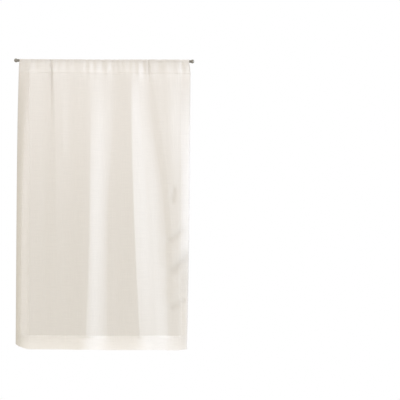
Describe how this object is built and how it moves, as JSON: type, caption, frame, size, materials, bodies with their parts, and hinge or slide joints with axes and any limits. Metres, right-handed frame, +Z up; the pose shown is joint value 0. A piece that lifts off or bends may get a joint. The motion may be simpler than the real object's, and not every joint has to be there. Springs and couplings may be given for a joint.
{
  "type": "sheer curtain and rod",
  "caption": "Sheer rod-pocket curtain panel with wide hems, hanging in soft uneven folds on a thin round rod with ball finials.",
  "frame": {"origin": "on the rod's axis, half-way along the rod", "axes": "+Z up, +X along the rod to the right as the room sees it, and the curtain's face towards the room at -Y"},
  "size_m": [1.3351, 0.1757, 2.149],
  "materials": {
    "voile": "sheer plain weave, off-white",
    "pewter": "satin"
  },
  "bodies": {
    "root": {"curtain": "voile", "rod": "pewter", "finial_left": "pewter", "finial_right": "pewter"}
  },
  "joints": []
}
